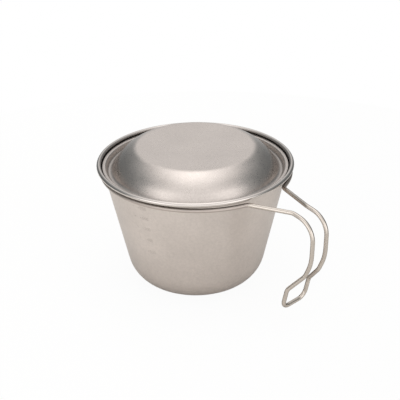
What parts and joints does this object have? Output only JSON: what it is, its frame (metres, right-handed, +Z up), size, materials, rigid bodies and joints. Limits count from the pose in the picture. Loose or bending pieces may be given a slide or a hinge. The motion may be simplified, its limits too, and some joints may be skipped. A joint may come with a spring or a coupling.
{
  "type": "camping cook pot",
  "caption": "Tapered sheet-metal cook pot with a rolled rim, a fixed bent-wire handle round its neck, and an inverted dish resting on a ledge in the mouth as a lift-off lid.",
  "frame": {"origin": "centre of the pot's flat base, on its underside", "axes": "+Z up along the pot's axis, +X along the handle, +Y to the left seen from the handle's end"},
  "size_m": [0.1859, 0.14, 0.1033],
  "materials": {
    "satin_sheet": "bead-blasted satin, warm grey",
    "wire": "smooth satin drawn wire",
    "lid_sheet": "bead-blasted satin, warm grey"
  },
  "bodies": {
    "pot": {"pot_body": "satin_sheet", "handle_wire": "wire"},
    "lid": {"lid_dish": "lid_sheet"}
  },
  "joints": [
    {"name": "lid_lift", "type": "slide", "parent": "pot", "child": "lid", "axis": [0, 0, 1], "range_m": [0, 0.12]}
  ]
}
